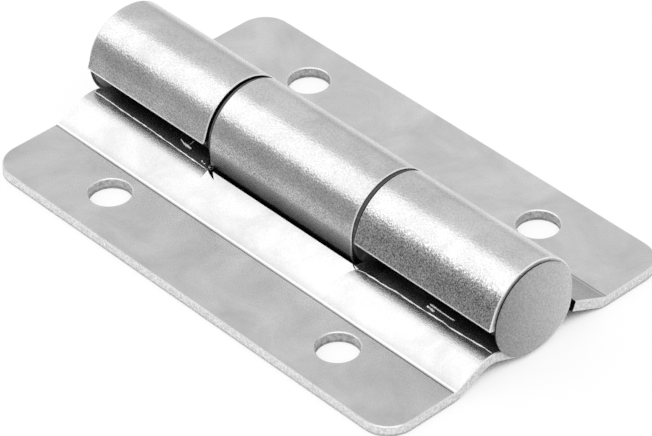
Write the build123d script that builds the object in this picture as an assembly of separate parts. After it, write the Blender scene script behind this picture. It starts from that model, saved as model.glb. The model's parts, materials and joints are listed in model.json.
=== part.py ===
from build123d import *
import os
from math import cos, radians, sin, tan

# Rolled sheet-metal leaf hinge, lying open and flat, in millimetres.
# X runs along the barrel, the front leaf lies towards -Y and the rear leaf towards +Y.
# Z = 0 is the mounting plane under both leaves, and the origin is below the middle of the barrel.

# The sheet and the two plates
leaf_length = 88.9
leaf_reach = 28.6  # barrel axis to the outer edge of a leaf
sheet = 1.8
corner_radius = 4.75
hole_radius = 3.375
hole_spacing = 50.8
hole_reach = 20.4  # barrel axis to the hole centres
edge_break = 0.15  # the sheet's cut outline, the rolls' ends and the upper rims of the holes

# The folded section between plate and barrel
axis_height = 8.6  # barrel axis above the mounting plane
fold_reach = 15.3  # barrel axis to the fold line on the plate's upper face
fold_radius = 0.6  # on the upper face
rise_angle = 24.5  # slope of the sheet from the fold up to the crest
crest_radius = 4.2  # on the lower face
dip_angle = 21.0  # slope of the sheet from the crest down into the roll
knuckle_bore_radius = 6.35
heel_flat = 2.2  # straight runs before and after the tighter bend at the heel of the roll
free_end_rise = 20.0  # the roll stops curving this far above the height of its axis
free_end_length = 2.7  # and the sheet runs on straight
free_edge_round = 0.35  # outer corner of the roll's free edge
free_corner_radius = 0.6  # the free edge's two ends, in the plane of the sheet

# The knuckles along the barrel
middle_far_end = -16.1
middle_length = 31.3
far_gap = 1.05
near_gap = 0.85
front_notch_reach = 8.5  # barrel axis to the notch edge on the upper face
rear_notch_reach = 9.0
relief_depth = 0.9  # round-ended slots in the corners of the rear notches
relief_width = 0.7
nick_bow = 0.12  # bulge of the curved side of the nicks in the corners of the front notch
far_nick_lead = 0.45  # the mouth starts this far inside the end of the shoulder
far_nick_width = 1.4
far_nick_lean = 1.25  # how far the tip lies beyond the mouth, along the barrel
far_nick_depth = 1.0  # down the slope
near_nick_lead = 0.2  # the mouth starts this far before the near roll
near_nick_width = 0.25
near_nick_lean = 0.8
near_nick_depth = 0.39
shoulder_length = 1.0  # how far the far strap runs on past the end of its roll
shoulder_gap = 0.5  # between that shoulder and the middle knuckle's outside
settle_length = 0.8  # along the barrel, over which the straight slope of a notch goes over into the crest
settle_drop = 0.42
front_settle_reach = 2.0  # down the slope
rear_settle_reach = 1.45

# Pin, sleeves, flanged bushes and end caps
pin_radius = 3.175
pin_running_gap = 0.06
seat_gap = 0.02
bush_flange = 0.55
bush_flange_radius = 7.85
bush_length = 12.0
sleeve_flange = 0.2  # holds the end cap off the knuckle's end face
sleeve_flange_radius = 7.2
sleeve_recess = 2.4  # from a sleeve's inner end to the end of its knuckle
cap_thickness = 0.3
cap_radius = 7.7
cap_edge_break = 0.1
cap_stem_length = 6.0
stem_lead = 0.4

# Sizes worked out from the ones above
half_length = leaf_length / 2
half_sheet = sheet / 2
cut_depth = 1.5 * sheet  # each way, where a hole or a nick passes through the sheet
rise = radians(rise_angle)
dip = radians(dip_angle)
roll_radius = knuckle_bore_radius + sheet
roll_mid_radius = knuckle_bore_radius + half_sheet
middle_near_end = middle_far_end + middle_length
far_roll_end = middle_far_end - far_gap
near_roll_end = middle_near_end + near_gap
notch_far_end = far_roll_end + shoulder_length
cap_seat = half_length + sleeve_flange
stem_end = cap_seat - cap_stem_length


def bent_strip(start, runs):
    """Strip of sheet from start, each run a (length, 0) or a (middle radius, turn to the left)."""
    y, z = start
    angle = 0.0
    upper = []
    lower = []

    def beside(offset):
        return (y - sin(angle) * offset, z + cos(angle) * offset)

    for size, turn in runs:
        top, bottom = beside(half_sheet), beside(-half_sheet)
        if turn == 0:
            y += size * cos(angle)
            z += size * sin(angle)
            upper.append(Line(top, beside(half_sheet)))
            lower.append(Line(bottom, beside(-half_sheet)))
            continue
        side = 1 if turn > 0 else -1
        y, z = beside(side * size)
        angle += radians(turn) / 2
        top_middle, bottom_middle = beside(half_sheet - side * size), beside(-half_sheet - side * size)
        angle += radians(turn) / 2
        y, z = beside(-side * size)
        upper.append(ThreePointArc(top, top_middle, beside(half_sheet)))
        lower.append(ThreePointArc(bottom, bottom_middle, beside(-half_sheet)))
    ends = [Line(upper[0] @ 0, lower[0] @ 0), Line(upper[-1] @ 1, lower[-1] @ 1)]
    return make_face(Wire(upper + lower + ends))


# The slope and the dip meet in one corner line, which the crest rounds
fold_corner = (half_sheet * tan(rise / 2) - fold_reach, half_sheet)
roll_entry = (-roll_mid_radius * sin(dip), axis_height - roll_mid_radius * cos(dip))
entry_across = roll_entry[0] - fold_corner[0]
entry_up = roll_entry[1] - fold_corner[1]
slope_run = (entry_across * sin(dip) + entry_up * cos(dip)) / sin(rise + dip)
dip_run = (entry_across * sin(rise) - entry_up * cos(rise)) / sin(rise + dip)
fold_mid_radius = fold_radius + half_sheet
crest_mid_radius = crest_radius + half_sheet
fold_tangent = fold_mid_radius * tan(rise / 2)
crest_tangent = crest_mid_radius * tan((rise + dip) / 2)
plate_runs = [(fold_corner[0] + leaf_reach - fold_tangent, 0), (fold_mid_radius, rise_angle)]


def strap_section():
    """Plate, fold, slope, crest, dip and roll of a leaf that lies towards -Y, the free edge eased."""
    runs = plate_runs + [
        (slope_run - fold_tangent - crest_tangent, 0),
        (crest_mid_radius, -rise_angle - dip_angle),
        (dip_run - crest_tangent, 0),
        (roll_mid_radius, dip_angle),
        (heel_flat, 0),
        (roll_mid_radius - heel_flat, 90.0),
        (heel_flat, 0),
        (roll_mid_radius, 180.0 - free_end_rise),
        (free_end_length, 0),
    ]
    strip = bent_strip((-leaf_reach, half_sheet), runs)
    free_edge = strip.vertices().sort_by_distance((-roll_radius, axis_height))[0]
    return fillet(free_edge, free_edge_round)


def notch_section(notch_reach):
    """Plate, fold and a straight slope that ends square at the notch edge."""
    slope_to_edge = (fold_reach - notch_reach) / cos(rise) - fold_radius * tan(rise / 2)
    return bent_strip((-leaf_reach, half_sheet), plate_runs + [(slope_to_edge, 0)])


def along_barrel(section, start, end):
    """Extrudes a section drawn as (Y, Z) from one X to another."""
    return extrude(Plane.YZ.offset(start) * section, end - start)


def free_corner(place, inwards):
    """What is cut off one end of a roll's free edge to round it in the plane of the sheet."""
    radius = free_corner_radius
    square = Rectangle(radius, radius, align=(Align.MIN, Align.MIN))
    spandrel = square - Pos(radius, radius) * Circle(radius)
    if inwards < 0:
        spandrel = mirror(spandrel, Plane.YZ)
    through = extrude(Plane.XZ.offset(roll_mid_radius) * spandrel, cut_depth, both=True)
    at_the_end = Pos(0, 0, -free_end_length) * through
    return Pos(place, 0, axis_height) * Rot(-free_end_rise, 0, 0) * at_the_end


def on_slope(place, reach):
    """Puts a shape on the slope's upper face, X along the barrel and Y up the slope."""
    height = sheet + (fold_reach - reach) * tan(rise)
    return Pos(place, -reach, height) * Rot(rise_angle, 0, 0)


def rear_relief(place):
    """Round-ended slot down the slope from the rear notch's edge, its far side at place."""
    radius = relief_width / 2
    straight = relief_depth - radius
    slot = Pos(0, -straight / 2) * Rectangle(relief_width, straight + relief_width)
    slot += Pos(0, -straight) * Circle(radius)
    through = extrude(slot, cut_depth, both=True)
    return on_slope(place + radius, rear_notch_reach) * through


def front_nick(mouth, width, lean, depth):
    """Curved nick down the slope from the front notch's edge, from its mouth to a pointed tip."""
    tip = (width + lean, -depth)
    bulge = ((width + lean) / 2, -depth / 2 - nick_bow)
    curved_side = ThreePointArc((0, 0), bulge, tip)
    rest = Polyline(tip, (width, 0), (width, edge_break), (0, edge_break), (0, 0))
    nick = make_face(Wire([curved_side, *rest.edges()]))
    through = extrude(nick, cut_depth, both=True)
    return on_slope(mouth, front_notch_reach) * through


def settled_corner(place, side, notch_reach, settle_reach):
    """Low wedge beside a notch, where its straight slope goes over into the rounded crest."""
    profile = Polyline(
        (0, 0),
        (side * settle_length, -settle_drop),
        (side * settle_length, -half_sheet),
        (0, -half_sheet),
        close=True,
    )
    wedge = extrude(Plane.XZ * make_face(profile), settle_reach)
    return on_slope(place, notch_reach) * wedge


def roll_end_break(place, inwards):
    """What is cut off a roll's outer corner at its inner end, round to the free edge."""
    corner = make_face(Polyline(
        (place, -edge_break),
        (place + inwards * edge_break, 0),
        (place + inwards * edge_break, edge_break),
        (place - inwards * edge_break, edge_break),
        (place - inwards * edge_break, -edge_break),
        close=True,
    ))
    around_roll = revolve(Plane.XZ * Pos(0, roll_radius) * corner, Axis.X, 180 - free_end_rise)
    around_heel = revolve(Plane.XZ * Pos(0, roll_radius - heel_flat) * corner, Axis.X, 90)
    flat = extrude(Plane.XZ * Pos(0, roll_radius) * corner, heel_flat)
    free_end = extrude(Plane.XZ * Pos(0, roll_radius) * corner, free_end_length + sheet)
    tools = [
        Rot(-90, 0, 0) * around_roll,
        Rot(90 - free_end_rise, 0, 0) * free_end,
        Pos(0, heel_flat, -heel_flat) * Rot(180, 0, 0) * around_heel,
        Rot(180, 0, 0) * flat,
        Pos(0, 0, -heel_flat) * Rot(-90, 0, 0) * flat,
    ]
    return [Pos(0, 0, axis_height) * tool for tool in tools]


def broken_outline(leaf):
    """Rounds the plate's two outer corners and breaks the edges of its cut outline on both faces."""
    leaf = fillet(leaf.edges().filter_by(Axis.Z).group_by(Axis.Y)[0], corner_radius)
    for face_edge in (0, -1):
        outline = leaf.edges().filter_by(Axis.X).group_by(Axis.Y)[0].sort_by(Axis.Z)[face_edge]
        leaf = chamfer(outline, edge_break)
    return leaf


def screw_holes():
    """The two screw holes of a leaf, with their upper rims broken."""
    rim_cone = Cone(hole_radius, hole_radius + 2 * edge_break, 2 * edge_break)
    drill = Cylinder(hole_radius, 2 * cut_depth) + Pos(0, 0, sheet) * rim_cone
    return [Pos(end * hole_spacing / 2, -hole_reach) * drill for end in (-1, 1)]


def front_leaf():
    """Leaf with the two end knuckles and a notch for the middle one."""
    strap = strap_section()
    around_middle = Pos(0, axis_height) * Circle(roll_radius + shoulder_gap)
    shoulder = (strap - around_middle).faces().sort_by(Axis.X)[0]
    leaf = along_barrel(strap, -half_length, far_roll_end)
    leaf += along_barrel(shoulder, far_roll_end, notch_far_end)
    leaf += along_barrel(notch_section(front_notch_reach), notch_far_end, near_roll_end)
    leaf += along_barrel(strap, near_roll_end, half_length)
    leaf += settled_corner(notch_far_end, -1, front_notch_reach, front_settle_reach)
    leaf += settled_corner(near_roll_end, 1, front_notch_reach, front_settle_reach)
    leaf = broken_outline(leaf)
    for place, inwards in ((far_roll_end, -1), (near_roll_end, 1)):
        leaf -= [free_corner(place, inwards), *roll_end_break(place, inwards)]
    leaf -= front_nick(notch_far_end - far_nick_lead, far_nick_width, far_nick_lean, far_nick_depth)
    leaf -= front_nick(near_roll_end - near_nick_lead, near_nick_width, near_nick_lean, near_nick_depth)
    return leaf - screw_holes()


def rear_leaf():
    """Leaf with the middle knuckle and a notch at each end, drawn towards -Y and mirrored."""
    notched = notch_section(rear_notch_reach)
    leaf = along_barrel(notched, -half_length, middle_far_end)
    leaf += along_barrel(strap_section(), middle_far_end, middle_near_end)
    leaf += along_barrel(notched, middle_near_end, half_length)
    leaf += settled_corner(middle_far_end, 1, rear_notch_reach, rear_settle_reach)
    leaf += settled_corner(middle_near_end, -1, rear_notch_reach, rear_settle_reach)
    leaf = broken_outline(leaf)
    for place, inwards in ((middle_far_end, 1), (middle_near_end, -1)):
        leaf -= [free_corner(place, inwards), *roll_end_break(place, inwards)]
    leaf -= [rear_relief(place) for place in (middle_far_end - relief_width, middle_near_end)]
    return mirror(leaf - screw_holes(), Plane.XZ)


def turned(outline):
    """Turns an outline, drawn as (X, distance from the barrel axis), about the barrel axis."""
    return Pos(0, 0, axis_height) * revolve(Plane.XZ * make_face(outline), Axis.X)


def hinge_pin():
    """Plain pin between the stems of the two end caps."""
    corners = ((-stem_end, 0), (stem_end, 0), (stem_end, pin_radius), (-stem_end, pin_radius))
    return turned(Polyline(*corners, close=True))


def flanged_tube(flange_seat, side, body_length, bore, flange, flange_radius):
    """Tube seated in a knuckle, its flange standing outside the knuckle's end face."""
    body = knuckle_bore_radius - seat_gap
    body_end = flange_seat - side * body_length
    flange_face = flange_seat + side * flange
    return turned(Polyline(
        (body_end, bore),
        (flange_face, bore),
        (flange_face, flange_radius),
        (flange_seat, flange_radius),
        (flange_seat, body),
        (body_end, body),
        close=True,
    ))


def outer_sleeve(side, knuckle_end):
    """Sleeve that holds the pin in one end knuckle."""
    length = abs(side * half_length - knuckle_end) - sleeve_recess
    bore = pin_radius + seat_gap
    return flanged_tube(side * half_length, side, length, bore, sleeve_flange, sleeve_flange_radius)


def running_bush(side, knuckle_end):
    """Bush that turns on the pin in one end of the middle knuckle."""
    bore = pin_radius + pin_running_gap
    return flanged_tube(knuckle_end, side, bush_length, bore, bush_flange, bush_flange_radius)


def end_cap(side):
    """Thin disc with a stem pressed into the sleeve, closing one end of the barrel."""
    face = cap_seat + cap_thickness
    cap = turned(Polyline(
        (stem_end, 0),
        (face, 0),
        (face, cap_radius - cap_edge_break),
        (face - cap_edge_break, cap_radius),
        (cap_seat, cap_radius),
        (cap_seat, pin_radius),
        (stem_end + stem_lead, pin_radius),
        (stem_end, pin_radius - stem_lead),
        close=True,
    ))
    return cap if side > 0 else mirror(cap, Plane.YZ)


parts = {
    "front_leaf": front_leaf(),
    "rear_leaf": rear_leaf(),
    "hinge_pin": hinge_pin(),
    "far_sleeve": outer_sleeve(-1, far_roll_end),
    "near_sleeve": outer_sleeve(1, near_roll_end),
    "far_flanged_bush": running_bush(-1, middle_far_end),
    "near_flanged_bush": running_bush(1, middle_near_end),
    "far_end_cap": end_cap(-1),
    "near_end_cap": end_cap(1),
}

os.makedirs("parts", exist_ok=True)
for name, shape in parts.items():
    export_step(shape, f"parts/{name}.step")
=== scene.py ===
import json
import math
import bpy
import numpy as np
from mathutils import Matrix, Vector


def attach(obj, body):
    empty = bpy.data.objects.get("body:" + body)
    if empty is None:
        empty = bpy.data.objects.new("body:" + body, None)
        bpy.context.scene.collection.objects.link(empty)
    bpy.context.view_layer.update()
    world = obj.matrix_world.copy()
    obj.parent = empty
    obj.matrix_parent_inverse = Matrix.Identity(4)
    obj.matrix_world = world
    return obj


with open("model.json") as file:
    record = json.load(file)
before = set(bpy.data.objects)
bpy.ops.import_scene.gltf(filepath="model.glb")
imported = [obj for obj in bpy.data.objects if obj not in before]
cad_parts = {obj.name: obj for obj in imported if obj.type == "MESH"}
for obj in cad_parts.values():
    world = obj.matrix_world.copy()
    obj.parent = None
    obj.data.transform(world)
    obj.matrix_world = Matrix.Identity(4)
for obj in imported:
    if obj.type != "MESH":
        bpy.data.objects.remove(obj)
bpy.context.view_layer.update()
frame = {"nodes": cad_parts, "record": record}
cadNodes = frame["nodes"]
print("hinge frame loaded:", ", ".join(sorted(cadNodes)))


# shader tree helpers: an input is a number, a colour or another node's output
def addNode(tree, kind, setup=None, **inputs):
    made = tree.nodes.new("ShaderNode" + kind)
    for key, value in (setup or {}).items():
        setattr(made, key, value)
    for key, value in inputs.items():
        numbered = key.startswith("in") and key[2:].isdigit()
        socket = made.inputs[int(key[2:])] if numbered else made.inputs[key.replace("_", " ")]
        if isinstance(value, bpy.types.NodeSocket):
            tree.links.new(value, socket)
        else:
            socket.default_value = value
    return made


def maths(tree, operation, first, second=0.0, third=0.0):
    return addNode(tree, "Math", {"operation": operation}, in0=first, in1=second, in2=third).outputs[0]


def times(tree, first, *others):
    for other in others:
        first = maths(tree, "MULTIPLY", first, other)
    return first


def plus(tree, first, second):
    return maths(tree, "ADD", first, second)


def most(tree, first, second):
    return maths(tree, "MAXIMUM", first, second)


# what a share leaves of 1
def rest(tree, share):
    return maths(tree, "SUBTRACT", 1.0, share)


# a value without its sign, and how far it is from a given place
def size(tree, value):
    return maths(tree, "ABSOLUTE", value)


def apart(tree, value, place):
    return size(tree, maths(tree, "SUBTRACT", value, place))


# 1 where the value lies above or below a limit, or between two of them
def above(tree, value, limit):
    return maths(tree, "GREATER_THAN", value, limit)


def below(tree, value, limit):
    return maths(tree, "LESS_THAN", value, limit)


def between(tree, value, limits):
    return times(tree, above(tree, value, limits[0]), below(tree, value, limits[1]))


# carries a value from low..high over to toLow..toHigh, held at both ends
def ramp(tree, value, low, high, toLow=0.0, toHigh=1.0, easing="SMOOTHSTEP"):
    made = addNode(tree, "MapRange", {"interpolation_type": easing}, Value=value)
    for name, number in (("From Min", low), ("From Max", high), ("To Min", toLow), ("To Max", toHigh)):
        made.inputs[name].default_value = number
    return made.outputs["Result"]


# a cloud's values sit mostly between 0.3 and 0.7
def spread(tree, value, middle, swing):
    return ramp(tree, value, 0.3, 0.7, middle - swing, middle + swing, "LINEAR")


def mixed(tree, share, first, second):
    return addNode(tree, "Mix", {"data_type": "RGBA"}, in0=share, in6=first, in7=second).outputs[2]


def grey(level):
    return (level, level, level, 1.0)


def greyOf(tree, level):
    return addNode(tree, "CombineColor", Red=level, Green=level, Blue=level).outputs[0]


def shaded(tree, share, colour):
    return mixed(tree, share, colour, grey(0.0))


# object coordinates in metres, stretched or moved for one pattern
def placed(tree, scale=(1, 1, 1), shift=(0, 0, 0)):
    mapping = addNode(tree, "Mapping", Vector=addNode(tree, "TexCoord").outputs["Object"])
    mapping.inputs["Location"].default_value = shift
    mapping.inputs["Scale"].default_value = scale
    return mapping.outputs["Vector"]


# the X, Y and Z of the object coordinates, or of the object's normal
def split(tree, kind="Object"):
    return addNode(tree, "SeparateXYZ", Vector=addNode(tree, "TexCoord").outputs[kind]).outputs


def noise(tree, where, scale, detail=2.0, rough=0.5, twist=0.0):
    made = addNode(tree, "TexNoise", Vector=where, Scale=scale, Detail=detail, Roughness=rough,
                   Distortion=twist)
    return made.outputs["Fac"]


def bump(tree, height, depth, under=None, strength=1.0):
    made = addNode(tree, "Bump", Strength=strength, Distance=depth, Height=height)
    if under is not None:
        tree.links.new(under, made.inputs["Normal"])
    return made.outputs["Normal"]


# share of open sky within a reach
def openSky(tree, reach, samples=8):
    return addNode(tree, "AmbientOcclusion", {"samples": samples}, Distance=reach).outputs["AO"]


# thin curved lines: the level lines of a cloud, a few to each cloud
def levelLines(tree, where, scale, lines, width):
    cloud = noise(tree, where, scale, 1.5, 0.4, 0.4)
    within = maths(tree, "FRACT", times(tree, cloud, lines))
    return ramp(tree, apart(tree, within, 0.5), 0.0, width, 1.0, 0.0)


# 0 on open faces, rising to 1 at sharp edges, where a rounded normal leaves the true one
def rubbedEdges(tree, radius):
    rounded = addNode(tree, "Bevel", {"samples": 4}, Radius=radius).outputs["Normal"]
    true = addNode(tree, "NewGeometry").outputs["True Normal"]
    alike = addNode(tree, "VectorMath", {"operation": "DOT_PRODUCT"}, in0=rounded, in1=true)
    return ramp(tree, alike.outputs["Value"], 0.99, 0.88)


def newSurface(name):
    made = bpy.data.materials.new(name)
    made.use_nodes = True
    made.node_tree.nodes.clear()
    return made


def finishSurface(surface, shader):
    tree = surface.node_tree
    out = tree.nodes.new("ShaderNodeOutputMaterial")
    tree.links.new(shader.outputs[0], out.inputs["Surface"])
    return surface


# the leaves' tumbled sheet
leafSheet = {
    "tone": 0.76,            # the steel's own grey
    "litPlateTone": 0.835,      # painted light: lighter on the flat plates
    "rearLift": 0.07,        # painted light: the rear plate is a little lighter
    "backLift": 0.055,       # painted light: and so are the rolls' backs
    "mottle": 0.11,          # how far cloudy patches leave that grey
    "mottleScale": 105,      # patches per metre
    "speckle": 0.026,        # the grain's own light and dark on the flat plates
    "rollSpeckle": 0.095,    # more of it on the rolls
    "speckleScale": 4400,    # per metre
    "flankSpeckle": 1.3,     # and more again down their fronts
    "nearSpeckle": 3.1,      # most of all on the near roll
    "nearShade": 0.44,       # painted shade: where the front is darker too
    "roughness": 0.27,
    "roughSwing": 0.03,
    "grainScale": 3300,      # tumbled grain, per metre
    "grainDepth": 0.000022,
    "plateGrain": 0.3,       # share of that depth on the plates
    "scratchScale": 120,
    "scratchLines": 9,       # to each cloud
    "scratchWidth": 0.05,
    "scratchTone": 0.03,     # a little lighter than the sheet
    "scratchDepth": 0.000004,
    "patchScale": 70,        # scratches come in patches
    "patchFrom": (0.4, 0.62),
    "rollScale": 190,        # long soft waves left by the rolling
    "rollDepth": 0.000012,
    "cutTone": 0.69,         # sheared faces
    "cutSwing": 0.27,        # share of that tone by which it varies
    "cutScale": 2300,
    "cutRoughness": 0.5,
    "cutDull": 0.6,          # how far they are from clean metal
    "cutGrain": 0.00004,
    "footShade": 0.5,        # painted shade: they darken towards the mounting plane
    "holeTone": 0.49,        # walls of the screw holes
    "holeSwing": 0.4,
    "holeScale": 1300,
    "edgeWearAndSheenTone": 0.93,        # rubbed edges, lightened both as wear and as a painted highlight
    "wornDull": 0.55,
    "wornShare": 0.75,       # how much of them is bare
    "wornSwing": 0.25,
    "wornScale": 1500,
    "edgeRadius": 0.00022,
    "outlineWearAndSheen": 0.55,     # the plates' outline gets less of that wear and painted highlight than the rims
    "creaseReach": 0.01545,  # painted shade: dark line of the bend, from the barrel's axis
    "creaseWidth": 0.00018,
    "creaseDepth": 0.00002,
    "creaseShadeTone": 0.42,
    "glintReach": 0.01508,   # painted highlight: bright line along its upper side
    "glintTone": 0.97,
    "glintWidth": 0.00013,
    "lineCore": 0.3,         # share of either line's half width that is full
    "bendShade": 0.12,       # painted shade: the slope is a little greyer just above the bend
    "bendReach": 0.0017,
    "bendEnd": 0.0004,
    "lowShade": 0.74,        # painted reflection: the middle roll's low front is darkened as if it mirrored the dark notch
    "lowReach": 0.008,       # as long as the front leaf is this near
    "lowBeside": (0.97, 0.85),
    # painted shade on the rear leaf's slope, under the barrel
    "rearSlopeShade": 0.24,
    "innerTone": 0.2,        # painted shade on the notches' sheared faces, close under the barrel
    "creviceReach": 0.004,   # painted shade: within this distance a neighbouring face darkens the steel's colour
    "creviceFrom": (0.35, 0.95),
    "creviceShadeTone": 0.5,      # down to this share of its grey
    "gapShadeTone": 0.25,      # painted shade on the knuckles' end faces in the gaps between them
}

# where the leaves' features lie, in metres: along the barrel, out from its axis, or up from the
# mounting plane
leafPlan = {
    "plateOut": 0.0155,            # the flat plates begin
    "barrelEnd": 0.0443,           # the leaf's ends lie beyond
    "innerEnds": 0.03,             # the knuckles' inner ends lie within
    "outerRolls": 0.0165,          # the outer rolls lie beyond
    "nearRoll": (0.0152, 0.0162),  # the near roll begins
    "holeAlong": 0.0254,
    "holeOut": 0.0204,
    "holeRadius": 0.0036,          # a little more than the wall's
    "rollFront": (-0.0083, -0.0064),
    "freeEdge": 0.0075,            # the rolls' free edges lie above
    "freeRim": (0.0093, 0.0091),   # top of the painted highlight along them
    "freeRimFoot": 0.0084,
    "rimRise": (0.006, 0.009),     # the painted highlight on inner rims comes in over this height
    "lowFront": (0.0102, 0.0062),  # the painted reflection darkens the middle roll's front down this height
    "rollRise": (0.0045, 0.0065),  # crests go over into rolls
    "grainRise": (0.0035, 0.0052),
    "sheetFoot": (0.0006, 0.0001),
    "notch": (0.0076, 0.0093),
    "notchTop": 0.0052,
    "rearSlope": (0.0088, 0.0092),
    "rearPlate": (0.0, 0.015),
}

# which way faces turn: the part of their normal along X, Y or Z
facing = {
    "endways": 0.8,
    "upright": 0.6,
    "downward": -0.9,
    "endChamfer": (0.4, 0.8),
    "plateChamfer": (0.6, 0.8),
    "notch": 0.8,
    "lowFront": (-0.2, -0.4),
    "grainyFront": (-0.62, -0.82),
    "darkFront": (-0.7, -1.0),
    "back": (0.45, 0.8),
}


def onPlates(tree):
    return above(tree, size(tree, split(tree)["Y"]), leafPlan["plateOut"])


# 1 on the sheared faces that lie open to the light (ends and outer edges of the leaf, hole walls)
# and on the roll's free edge, and 1 on those hidden in the gaps between the knuckles, which get painted
# shade
def cutFaces(tree):
    normal, place, outOnPlate = split(tree, "Normal"), split(tree), onPlates(tree)
    endways = above(tree, size(tree, normal["X"]), facing["endways"])
    within = below(tree, size(tree, place["X"]), leafPlan["barrelEnd"])
    hidden = times(tree, endways, within, rest(tree, outOnPlate))
    plateEdge = times(tree, below(tree, size(tree, normal["Z"]), facing["upright"]), outOnPlate)
    high = above(tree, place["Z"], leafPlan["freeEdge"])
    freeEdge = times(tree, below(tree, normal["Z"], facing["downward"]), high)
    shown = most(tree, maths(tree, "SUBTRACT", endways, hidden), plateEdge)
    return most(tree, shown, freeEdge), shown, hidden


# 1 on the walls of the screw holes
def holeWalls(tree):
    place = split(tree)
    along = maths(tree, "SUBTRACT", size(tree, place["X"]), leafPlan["holeAlong"])
    out = maths(tree, "SUBTRACT", size(tree, place["Y"]), leafPlan["holeOut"])
    squared = plus(tree, times(tree, along, along), times(tree, out, out))
    return below(tree, squared, leafPlan["holeRadius"] ** 2)


# 1 on the narrow broken edges of the knuckles' ends and of the plates, and along the outer rolls'
# free edges, where wear and a painted highlight lighten them; the inner ends only higher up
def brokenEdges(tree):
    normal, place, outOnPlate = split(tree, "Normal"), split(tree), onPlates(tree)
    atEnds = between(tree, size(tree, normal["X"]), facing["endChamfer"])
    lit = most(tree, above(tree, size(tree, place["X"]), leafPlan["innerEnds"]),
               ramp(tree, place["Z"], *leafPlan["rimRise"]))
    atEnds = times(tree, atEnds, rest(tree, outOnPlate), lit)
    atOutline = between(tree, size(tree, normal["Z"]), facing["plateChamfer"])
    atOutline = times(tree, atOutline, outOnPlate, leafSheet["outlineWearAndSheen"])
    outer = above(tree, size(tree, place["X"]), leafPlan["outerRolls"])
    inFront = below(tree, place["Y"], leafPlan["rollFront"][1])
    low = ramp(tree, place["Z"], *leafPlan["freeRim"])
    atFreeEdge = times(tree, outer, inFront, low, above(tree, place["Z"], leafPlan["freeRimFoot"]))
    return most(tree, most(tree, atEnds, atOutline), atFreeEdge)


# rises to 1 down the front of the middle roll, as long as the front leaf is beside it; there the painted
# reflection of the dark notch lies
def lowFront(tree):
    place = split(tree)
    turned = ramp(tree, split(tree, "Normal")["Y"], *facing["lowFront"])
    onRoll = between(tree, place["Y"], leafPlan["rollFront"])
    beside = ramp(tree, openSky(tree, leafSheet["lowReach"], 16), *leafSheet["lowBeside"])
    return times(tree, turned, ramp(tree, place["Z"], *leafPlan["lowFront"]), onRoll, beside)


# rises to 1 on the rolls as they turn from one given slant to another
def rollSide(tree, slants):
    turned = ramp(tree, split(tree, "Normal")["Y"], *slants)
    return times(tree, turned, ramp(tree, split(tree)["Z"], *leafPlan["rollRise"]))


# 1 on the notches' sheared faces, which look at the barrel and get painted shade
def notchFaces(tree):
    place = split(tree)
    turned = above(tree, size(tree, split(tree, "Normal")["Y"]), facing["notch"])
    beside = between(tree, size(tree, place["Y"]), leafPlan["notch"])
    return times(tree, turned, beside, below(tree, place["Z"], leafPlan["notchTop"]))


# 1 on a line that runs along the leaf at a given reach from the barrel's axis
def longLine(tree, reach, place, width):
    return ramp(tree, apart(tree, reach, place), width * leafSheet["lineCore"], width, 1.0, 0.0)


# the open sheet's grey: plates, rolls, mottle and specks, with painted light on the flat plates, the
# rear plate and the rolls' backs
def sheetTone(tree, place, onPlate, nearRoll, scratches):
    look = leafSheet
    amount = ramp(tree, place["Z"], *leafPlan["rollRise"], look["speckle"], look["rollSpeckle"])
    coarser = maths(tree, "MULTIPLY_ADD", nearRoll, look["nearSpeckle"], look["flankSpeckle"])
    coarser = maths(tree, "MULTIPLY_ADD", rollSide(tree, facing["grainyFront"]), coarser, 1.0)
    specks = noise(tree, placed(tree, shift=(0, 0, 0.5)), look["speckleScale"], 1)
    speckle = times(tree, spread(tree, specks, 0.0, 1.0), amount, coarser)
    mottle = noise(tree, placed(tree), look["mottleScale"], 6, 0.62, 0.6)
    # painted light: the flat plates get a lighter grey than the rolls
    tone = ramp(tree, onPlate, 0.0, 1.0, look["tone"], look["litPlateTone"], "LINEAR")
    # painted light: lighter towards the rear plate
    tone = plus(tree, tone, ramp(tree, place["Y"], *leafPlan["rearPlate"], 0.0, look["rearLift"]))
    tone = plus(tree, tone, plus(tree, spread(tree, mottle, 0.0, look["mottle"]), speckle))
    # painted light: lighter on the rolls' backs
    tone = maths(tree, "MULTIPLY_ADD", rollSide(tree, facing["back"]), look["backLift"], tone)
    return greyOf(tree, maths(tree, "MULTIPLY_ADD", scratches, look["scratchTone"], tone)), mottle


# sheared edges and, pitted, the walls of the holes, with painted shade towards the mounting plane
def shearedTone(tree, place, coarse):
    look = leafSheet
    sheared = greyOf(tree, spread(tree, coarse, look["cutTone"], look["cutTone"] * look["cutSwing"]))
    pits = noise(tree, placed(tree), look["holeScale"], 3, 0.7)
    pitted = greyOf(tree, spread(tree, pits, look["holeTone"], look["holeTone"] * look["holeSwing"]))
    foot = ramp(tree, place["Z"], *leafPlan["sheetFoot"], 0.0, look["footShade"])
    return shaded(tree, foot, mixed(tree, holeWalls(tree), sheared, pitted))


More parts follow.
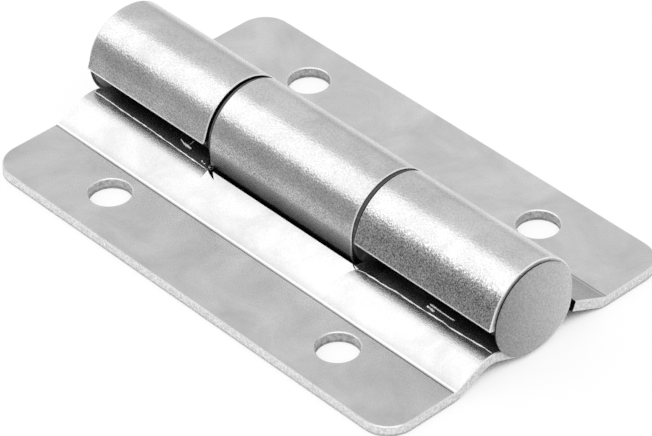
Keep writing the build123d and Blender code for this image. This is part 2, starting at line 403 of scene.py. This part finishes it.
def makeLeafSurface():
    look = leafSheet
    surface = newSurface("tumbled leaf steel")
    tree = surface.node_tree
    place = split(tree)
    cut, openCut, hidden = cutFaces(tree)
    worn = most(tree, rubbedEdges(tree, look["edgeRadius"]), brokenEdges(tree))

    reach = size(tree, place["Y"])
    crease = longLine(tree, reach, look["creaseReach"], look["creaseWidth"])
    glint = longLine(tree, reach, look["glintReach"], look["glintWidth"])
    onPlate = ramp(tree, reach, look["glintReach"], look["creaseReach"])
    nearRoll = ramp(tree, place["X"], *leafPlan["nearRoll"])

    grain = noise(tree, placed(tree), look["grainScale"], 0)
    waves = noise(tree, placed(tree, (0.25, 1, 1)), look["rollScale"], 3, 0.5, 0.3)
    coarse = noise(tree, placed(tree), look["cutScale"], 3, 0.7)
    patches = noise(tree, placed(tree, shift=(1, 2, 0)), look["patchScale"], 2, 0.5)
    lines = levelLines(tree, placed(tree, shift=(0, 0.3, 0)), look["scratchScale"], look["scratchLines"],
                       look["scratchWidth"])
    scratches = times(tree, lines, ramp(tree, patches, *look["patchFrom"]))

    sheet, mottle = sheetTone(tree, place, onPlate, nearRoll, scratches)
    # painted shade: the slope greyer just above the bend, and the rear slope under the barrel
    shade = ramp(tree, reach, look["creaseReach"] - look["bendReach"],
                 look["creaseReach"] - look["bendEnd"], 0.0, look["bendShade"])
    rearSlope = times(tree, ramp(tree, place["Y"], *leafPlan["rearSlope"]), rest(tree, onPlate))
    sheet = shaded(tree, most(tree, shade, times(tree, rearSlope, look["rearSlopeShade"])), sheet)
    # painted highlight along the bend's upper side
    sheet = mixed(tree, glint, sheet, grey(look["glintTone"]))
    # painted shade in the bend's dark line
    sheet = mixed(tree, crease, sheet, grey(look["creaseShadeTone"]))
    # painted reflection of the dark notch on the middle roll's low front
    sheet = shaded(tree, times(tree, lowFront(tree), look["lowShade"]), sheet)
    # painted shade down the near roll's front
    darkFront = times(tree, rollSide(tree, facing["darkFront"]), nearRoll)
    sheet = shaded(tree, times(tree, darkFront, look["nearShade"]), sheet)

    colour = mixed(tree, cut, sheet, shearedTone(tree, place, coarse))
    rubs = noise(tree, placed(tree), look["wornScale"], 2, 0.6)
    bare = spread(tree, rubs, look["wornShare"], look["wornSwing"])
    # edges lightened as wear and as a painted highlight
    colour = mixed(tree, times(tree, worn, bare), colour, grey(look["edgeWearAndSheenTone"]))
    # painted shade on the knuckles' end faces in the gaps
    colour = mixed(tree, hidden, colour, grey(look["gapShadeTone"]))
    # painted shade on the notches' sheared faces
    colour = mixed(tree, notchFaces(tree), colour, grey(look["innerTone"]))
    # painted shade in crevices, from ambient occlusion
    crevice = ramp(tree, openSky(tree, look["creviceReach"]), *look["creviceFrom"],
                   1.0 - look["creviceShadeTone"], 0.0)
    colour = shaded(tree, times(tree, crevice, rest(tree, openCut)), colour)

    rough = plus(tree, spread(tree, mottle, look["roughness"], look["roughSwing"]),
                 spread(tree, grain, 0.0, look["roughSwing"]))
    rough = addNode(tree, "Mix", in0=cut, in2=rough, in3=look["cutRoughness"]).outputs[0]
    dull = most(tree, times(tree, cut, look["cutDull"]), times(tree, worn, look["wornDull"]))

    normal = bump(tree, waves, look["rollDepth"])
    normal = bump(tree, scratches, look["scratchDepth"], normal)
    normal = bump(tree, rest(tree, crease), look["creaseDepth"], normal)
    share = ramp(tree, place["Z"], *leafPlan["grainRise"], look["plateGrain"], 1.0)
    normal = bump(tree, grain, look["grainDepth"], normal, share)
    normal = bump(tree, coarse, look["cutGrain"], normal, cut)
    shader = addNode(tree, "BsdfPrincipled", Base_Color=colour, Metallic=rest(tree, dull),
                     Roughness=rough, Normal=normal)
    return finishSurface(surface, shader)


# painted highlight: near-white, mostly diffuse steel on the ridges in the slots, bright even in the
# slots' shade
glintRidgeSteel = {"tone": 0.96, "swing": 0.04, "scale": 1400, "depth": 0.00002, "roughness": 0.35,
             "roughSwing": 0.05, "dull": 0.9}


def makeGlintRidgeSurface():
    look = glintRidgeSteel
    surface = newSurface("torn steel")
    tree = surface.node_tree
    breaks = noise(tree, placed(tree), look["scale"], 2, 0.6)
    colour = greyOf(tree, spread(tree, breaks, look["tone"], look["swing"]))
    shader = addNode(tree, "BsdfPrincipled", Base_Color=colour, Metallic=1.0 - look["dull"],
                     Roughness=spread(tree, breaks, look["roughness"], look["roughSwing"]),
                     Normal=bump(tree, breaks, look["depth"]))
    return finishSurface(surface, shader)


# the ground pin, with fine lines round it
groundPin = {"tone": 0.66, "swing": 0.04, "cloudScale": 300, "roughness": 0.28, "roughSwing": 0.05,
             "lineScale": 5200, "lineStretch": (1, 0.04, 0.04), "lineDepth": 0.000004}


def makePinSurface():
    look = groundPin
    surface = newSurface("ground pin steel")
    tree = surface.node_tree
    lines = noise(tree, placed(tree, look["lineStretch"]), look["lineScale"], 2, 0.5)
    clouds = noise(tree, placed(tree), look["cloudScale"], 3, 0.6)
    colour = greyOf(tree, spread(tree, clouds, look["tone"], look["swing"]))
    shader = addNode(tree, "BsdfPrincipled", Base_Color=colour, Metallic=1.0,
                     Roughness=spread(tree, lines, look["roughness"], look["roughSwing"]),
                     Normal=bump(tree, lines, look["lineDepth"]))
    return finishSurface(surface, shader)


# the satin end caps, with painted light: darker to the front, lighter towards the rear
satinCap = {
    "shadedFrontTone": 0.3,
    "litRearTone": 0.69,
    "across": (-0.0085, 0.0075),   # from front to rear
    "nearRimShadeTone": 0.015,             # painted shade: near-black rim of the near cap
    "farRimLightTone": 0.8,            # painted light: light rim of the far one
    "sideTurn": (0.5, 0.3),
    "metal": 0.85,
    "roughness": 0.4,
    "roughSwing": 0.03,
    "grain": 0.09,
    "grainScale": 3000,
    "grainDepth": 0.000012,
    "clouds": 0.025,
    "cloudScale": 160,
}


def makeCapSurface():
    look = satinCap
    surface = newSurface("satin end cap")
    tree = surface.node_tree
    place = split(tree)
    fine = noise(tree, placed(tree), look["grainScale"], 1, 0.6)
    clouds = noise(tree, placed(tree), look["cloudScale"], 4, 0.55)
    # painted light across the cap, from front to rear
    tone = ramp(tree, place["Y"], *look["across"], look["shadedFrontTone"], look["litRearTone"], "LINEAR")
    tone = plus(tree, tone, spread(tree, clouds, 0.0, look["clouds"]))
    colour = greyOf(tree, plus(tree, tone, spread(tree, fine, 0.0, look["grain"])))
    # painted shade on the near cap's rim and painted light on the far cap's rim
    side = mixed(tree, above(tree, place["X"], 0.0), grey(look["farRimLightTone"]), grey(look["nearRimShadeTone"]))
    onSide = ramp(tree, size(tree, split(tree, "Normal")["X"]), *look["sideTurn"])
    colour = mixed(tree, onSide, colour, side)
    shader = addNode(tree, "BsdfPrincipled", Base_Color=colour, Metallic=look["metal"],
                     Roughness=spread(tree, clouds, look["roughness"], look["roughSwing"]),
                     Normal=bump(tree, fine, look["grainDepth"]))
    return finishSurface(surface, shader)


# black plastic sleeves and bushes
blackPlastic = {
    "tone": 0.06,
    "scuffTone": 0.16,
    "scuffScale": 700,
    "scuffStretch": (0.2, 1, 1),
    "scuffFrom": (0.55, 0.75),
    "rubRadius": 0.0001,
    "rubShare": 0.4,
    "farLightTone": 0.4,                # painted light: the far sleeve's open end is lighter, where light enters
    "farEnd": (-0.041, -0.0445),
    "roughness": 0.42,
    "scuffRoughness": 0.58,
    "shine": 0.4,
    "mouldScale": 2600,
    "mouldDepth": 0.00001,
}


def makePlasticSurface():
    look = blackPlastic
    surface = newSurface("black bearing plastic")
    tree = surface.node_tree
    mould = noise(tree, placed(tree), look["mouldScale"], 3, 0.6)
    streaks = noise(tree, placed(tree, look["scuffStretch"]), look["scuffScale"], 3, 0.6)
    scuffs = ramp(tree, streaks, *look["scuffFrom"])
    colour = mixed(tree, scuffs, grey(look["tone"]), grey(look["scuffTone"]))
    rubbed = times(tree, rubbedEdges(tree, look["rubRadius"]), look["rubShare"])
    colour = mixed(tree, rubbed, colour, grey(look["scuffTone"]))
    # painted light at the far sleeve's open end
    colour = mixed(tree, ramp(tree, split(tree)["X"], *look["farEnd"]), colour, grey(look["farLightTone"]))
    rough = ramp(tree, scuffs, 0.0, 1.0, look["roughness"], look["scuffRoughness"])
    shader = addNode(tree, "BsdfPrincipled", Base_Color=colour, Roughness=rough,
                     Normal=bump(tree, mould, look["mouldDepth"]), Specular_IOR_Level=look["shine"])
    return finishSurface(surface, shader)


finishes = {
    "leaf_steel": makeLeafSurface(),
    "pin_steel": makePinSurface(),
    "cap_steel": makeCapSurface(),
    "black_plastic": makePlasticSurface(),
}
for part in frame["record"]["subparts"]:
    cadObject = cadNodes[part["node"]]
    cadObject.data.materials.clear()
    cadObject.data.materials.append(finishes[part["material_slot"]])
print("finishes on", len(cadNodes), "hinge parts")


# thin ridges and small flakes along the crests of the outer straps, in the mouths of the two slots,
# finished near-white as a painted highlight for the glints there
crestLines = {
    "height": 0.0001,
    "halfWidth": 0.00012,
    "wander": 0.00004,
    "sunk": 0.00004,
    "step": 0.00015,              # between stations along a ridge
    "swell": (0.35, 1.25),        # its size varies between these shares
    "taper": 12,                  # one part in so many at either end runs out
    "stouter": {"far_flake": 2.3, "far_dash": 1.9, "near_flake": 1.6, "near_blob": 2.5},
    "lines": {                    # name: (x, y) stations along the line, in millimetres
        "far_crest_ridge": ((-44.1, -7.75), (-41.6, -7.7), (-38.3, -7.83), (-31.9, -7.9), (-28.7, -8.06),
                            (-22.4, -8.23), (-19.2, -8.34), (-17.0, -8.43)),
        "near_crest_ridge": ((16.8, -8.6), (18.2, -8.25), (23.0, -8.18), (24.5, -7.98), (29.3, -8.04),
                             (32.3, -7.9), (37.0, -7.94), (40.1, -7.84), (41.5, -7.65), (44.1, -7.72)),
        "far_flake": ((-25.7, -5.82), (-24.4, -6.31), (-23.8, -6.3), (-22.4, -6.6)),
        "far_dash": ((-24.4, -4.3), (-23.8, -5.43)),
        "far_fleck": ((-18.9, -7.5), (-18.5, -7.6)),
        "far_second_fleck": ((-18.2, -7.68), (-17.9, -7.72)),
        "far_third_fleck": ((-17.0, -7.8), (-16.6, -7.8)),
        "near_flake": ((29.7, -6.1), (32.5, -6.2), (35.0, -6.22)),
        "near_blob": ((29.9, -6.8), (30.7, -6.9), (31.6, -7.0)),
    },
}
# upper face of the outer straps near the crest, from the section's own sizes
strap = {"foldY": -0.0153, "plateZ": 0.0018, "rise": math.radians(24.5), "dip": math.radians(21.0),
         "boreRadius": 0.00635, "axisZ": 0.0086, "crestRadius": 0.006}


# height of the strap's upper face over y: a rising line and a falling line, joined by the crest's arc
def strapTop(y):
    rise, dip, radius = strap["rise"], strap["dip"], strap["crestRadius"]
    up, down = math.tan(rise), math.tan(dip)
    entryY = -strap["boreRadius"] * math.sin(dip)
    entryZ = strap["axisZ"] - strap["boreRadius"] * math.cos(dip)
    cornerY = (entryZ + down * entryY - strap["plateZ"] + up * strap["foldY"]) / (up + down)
    cornerZ = strap["plateZ"] + up * (cornerY - strap["foldY"])
    half, lean = (rise + dip) / 2, (rise - dip) / 2
    off = radius / math.cos(half)
    midY, midZ = cornerY + off * math.sin(lean), cornerZ - off * math.cos(lean)
    arc = midZ + np.sqrt(np.maximum(radius ** 2 - (y - midY) ** 2, 0))
    lines = np.minimum(cornerZ + up * (y - cornerY), cornerZ - down * (y - cornerY))
    onArc = (y > midY - radius * math.sin(rise)) & (y < midY + radius * math.sin(dip))
    return np.where(onArc, arc, lines)


# a low ridge: one parameter runs along the wandering line, the other goes once round its closed
# half-round profile, y = middle - width cos t and z = strap's top at y + height sin t
def makeRidge(name, stations, seed, finish):
    look = crestLines
    given = np.array(stations) / 1000
    count = max(24, int((given[-1, 0] - given[0, 0]) / look["step"]))
    along = np.linspace(given[0, 0], given[-1, 0], count)
    rng = np.random.default_rng(seed)
    knots = np.linspace(along[0], along[-1], max(6, count // 5))
    sway = np.interp(along, knots, rng.normal(0, look["wander"], len(knots)))
    swell = np.interp(along, knots, rng.uniform(*look["swell"], len(knots)))
    share = np.linspace(0, 1, count)
    taper = np.sqrt(np.clip(np.minimum(share, 1 - share) * look["taper"], 0.02, 1))
    stout = (look["stouter"].get(name, 1.0) * swell * taper)[:, None]
    middle = np.interp(along, given[:, 0], given[:, 1]) + sway
    turn = np.linspace(0, 2 * math.pi, 13)[:-1]
    lift = np.sin(turn)[None, :]
    y = middle[:, None] - look["halfWidth"] * stout * np.cos(turn)[None, :]
    z = strapTop(y) + np.where(lift > 0, look["height"] * stout * lift, look["sunk"] * lift)
    x = np.broadcast_to(along[:, None], y.shape)
    points = np.stack([x, y, z], -1).reshape(-1, 3)
    ring = len(turn)
    i = np.arange(count - 1)[:, None] * ring
    j = np.arange(ring)[None, :]
    k = (j + 1) % ring
    faces = np.stack([i + j, i + ring + j, i + ring + k, i + k], -1).reshape(-1, 4).tolist()
    faces += [tuple(range(ring)), tuple(range(len(points) - 1, len(points) - ring - 1, -1))]
    mesh = bpy.data.meshes.new(name)
    mesh.from_pydata(points.tolist(), [], faces)
    mesh.validate()
    mesh.shade_smooth()
    piece = bpy.data.objects.new(name, mesh)
    bpy.context.scene.collection.objects.link(piece)
    mesh.materials.append(finish)
    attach(piece, "front_half")


glintRidgeFinish = makeGlintRidgeSurface()
for seed, (name, stations) in enumerate(crestLines["lines"].items()):
    makeRidge(name, stations, seed, glintRidgeFinish)
print("crest ridges made")


# studio: pale floor, pale backdrop, one broad soft light and plain fill
studio = {
    "floorSize": 8.0,
    "floorDrop": 0.0001,      # the floor lies this far below the hinge
    "floorTone": 0.93,
    "eyeGlow": 0.8,           # share of plain white in the open floor, as the eye sees it
    "glossGlow": 0.1,         # and as gloss sees it
    "glowReach": 0.012,       # the floor's colour and glow fade into painted shade within this distance of the hinge
    "glowFrom": (0.08, 0.3),  # shares of open sky between which that painted shade lifts and the floor glows in full
    "skyHigh": 0.69,          # backdrop overhead
    "skyLow": 1.0,            # backdrop at the horizon
    "skyTurn": (0.02, 0.12),
    "skyFill": 0.9,           # even fill on diffuse surfaces
    "boxCentre": (0.0, -0.452, 0.878),
    "boxAim": (0.0, -0.1, 0.0),
    "boxSize": (2.6, 1.2),
    "boxPower": 6.05,
}
# grey cards that gloss alone sees: glow, from-to along the hinge, and from-to across it as (y, z)
cards = {
    "front card": (0.41, (-0.9, 0.9), ((-0.036, 0.0004), (-0.16, 0.0004))),
    "rear low card": (0.87, (-1.2, 0.6), ((0.034, 0.0004), (0.45, 0.0004))),
    "rear card": (0.5, (-1.2, 0.6), ((0.45, 0.0004), (0.45, 0.12))),
    "end card": (0.74, (0.0465, 0.4), ((-0.03, 0.0005), (0.3, 0.0005))),
}
# one more stands in front, rounded up from the floor by a quarter circle
standingCard = {"glow": 0.345, "along": (-0.9, 0.9), "startY": -0.16, "radius": 0.14, "top": 0.22,
                "lift": 0.0004}


# 1 for rays from the eye, straight or through glass
def seenDirectly(tree, path):
    return most(tree, path["Is Camera Ray"], path["Is Transmission Ray"])


def makeFloor():
    half = studio["floorSize"] / 2
    corners = np.array([[-half, -half], [half, -half], [half, half], [-half, half]])
    corners = np.hstack([corners, np.full((4, 1), -studio["floorDrop"])])
    mesh = bpy.data.meshes.new("floor")
    mesh.from_pydata(corners.tolist(), [], [(0, 1, 2, 3)])
    floor = bpy.data.objects.new("floor", mesh)
    bpy.context.scene.collection.objects.link(floor)
    surface = newSurface("pale floor")
    tree = surface.node_tree
    path = addNode(tree, "LightPath").outputs
    # painted shade: ambient occlusion darkens the floor's colour and glow under and beside the hinge
    openness = ramp(tree, openSky(tree, studio["glowReach"]), *studio["glowFrom"])
    inGloss = times(tree, path["Is Glossy Ray"], studio["glossGlow"])
    share = maths(tree, "MULTIPLY_ADD", seenDirectly(tree, path), studio["eyeGlow"], inGloss)
    paper = addNode(tree, "BsdfDiffuse", Color=greyOf(tree, times(tree, openness, studio["floorTone"])))
    glow = addNode(tree, "Emission", Color=grey(1.0), Strength=1.0)
    shown = addNode(tree, "MixShader", in0=times(tree, share, openness), in1=paper.outputs[0],
                    in2=glow.outputs[0])
    mesh.materials.append(finishSurface(surface, shown))


# one parameter runs along the hinge, the other along the card's profile
def makeCard(name, glow, along, profile):
    across = np.array(profile)
    x = np.linspace(*along, 3)
    grid = np.stack(np.broadcast_arrays(x[:, None], across[None, :, 0], across[None, :, 1]), -1)
    grid = grid.reshape(-1, 3)
    wide = len(across)
    first = (np.arange(len(x) - 1)[:, None] * wide + np.arange(wide - 1)[None, :]).reshape(-1)
    faces = np.stack([first, first + 1, first + wide + 1, first + wide], 1)
    mesh = bpy.data.meshes.new(name)
    mesh.from_pydata(grid.tolist(), [], faces.tolist())
    card = bpy.data.objects.new(name, mesh)
    bpy.context.scene.collection.objects.link(card)
    surface = newSurface(name)
    shine = addNode(surface.node_tree, "Emission", Color=grey(1.0), Strength=glow)
    mesh.materials.append(finishSurface(surface, shine))
    card.visible_camera = card.visible_diffuse = card.visible_transmission = card.visible_shadow = False


# y = start - r sin t, z = r (1 - cos t), and straight up from there
def makeStandingCard():
    look = standingCard
    turn = np.linspace(0, math.pi / 2, 13)
    y = np.append(look["startY"] - look["radius"] * np.sin(turn), look["startY"] - look["radius"])
    z = np.append(look["radius"] * (1 - np.cos(turn)), look["top"]) + look["lift"]
    makeCard("standing card", look["glow"], look["along"], np.stack([y, z], 1))


def makeSky():
    world = bpy.data.worlds.new("studio")
    bpy.context.scene.world = world
    world.use_nodes = True
    tree = world.node_tree
    tree.nodes.clear()
    upward = split(tree, "Generated")["Z"]
    path = addNode(tree, "LightPath").outputs
    seen = greyOf(tree, ramp(tree, upward, *studio["skyTurn"], studio["skyLow"], studio["skyHigh"]))
    fill = addNode(tree, "Background", Color=grey(1.0), Strength=studio["skyFill"]).outputs[0]
    shown = addNode(tree, "Background", Color=seen, Strength=1.0).outputs[0]
    share = most(tree, seenDirectly(tree, path), path["Is Glossy Ray"])
    both = addNode(tree, "MixShader", in0=share, in1=fill, in2=shown)
    out = tree.nodes.new("ShaderNodeOutputWorld")
    tree.links.new(both.outputs[0], out.inputs["Surface"])


def makeSoftBox():
    light = bpy.data.lights.new("overhead box", "AREA")
    light.shape = "RECTANGLE"
    light.size, light.size_y = studio["boxSize"]
    light.energy = studio["boxPower"]
    box = bpy.data.objects.new("overhead box", light)
    box.location = studio["boxCentre"]
    box.rotation_mode = "QUATERNION"
    beam = Vector(studio["boxAim"]) - Vector(studio["boxCentre"])
    box.rotation_quaternion = beam.to_track_quat("-Z", "Y")
    box.visible_camera = False
    bpy.context.scene.collection.objects.link(box)


makeFloor()
for name, (glow, along, profile) in cards.items():
    makeCard(name, glow, along, profile)
makeStandingCard()
makeSky()
makeSoftBox()
print("studio ready")


# camera, solved from the photograph's edges and holes
view = {
    "place": (0.348481, -0.308145, 0.366808),
    "turn": (51.72003, 1.38149, 47.37043),   # degrees
    "lens": 216.959,
    "sensor": 36.0,
    "clip": (0.01, 20),
}


def makeCamera():
    data = bpy.data.cameras.new("camera")
    data.sensor_fit = "HORIZONTAL"
    data.sensor_width = view["sensor"]
    data.lens = view["lens"]
    data.clip_start, data.clip_end = view["clip"]
    camera = bpy.data.objects.new("camera", data)
    camera.location = view["place"]
    camera.rotation_euler = [math.radians(angle) for angle in view["turn"]]
    bpy.context.scene.collection.objects.link(camera)
    bpy.context.scene.camera = camera


makeCamera()
bpy.context.scene.view_settings.view_transform = "Standard"
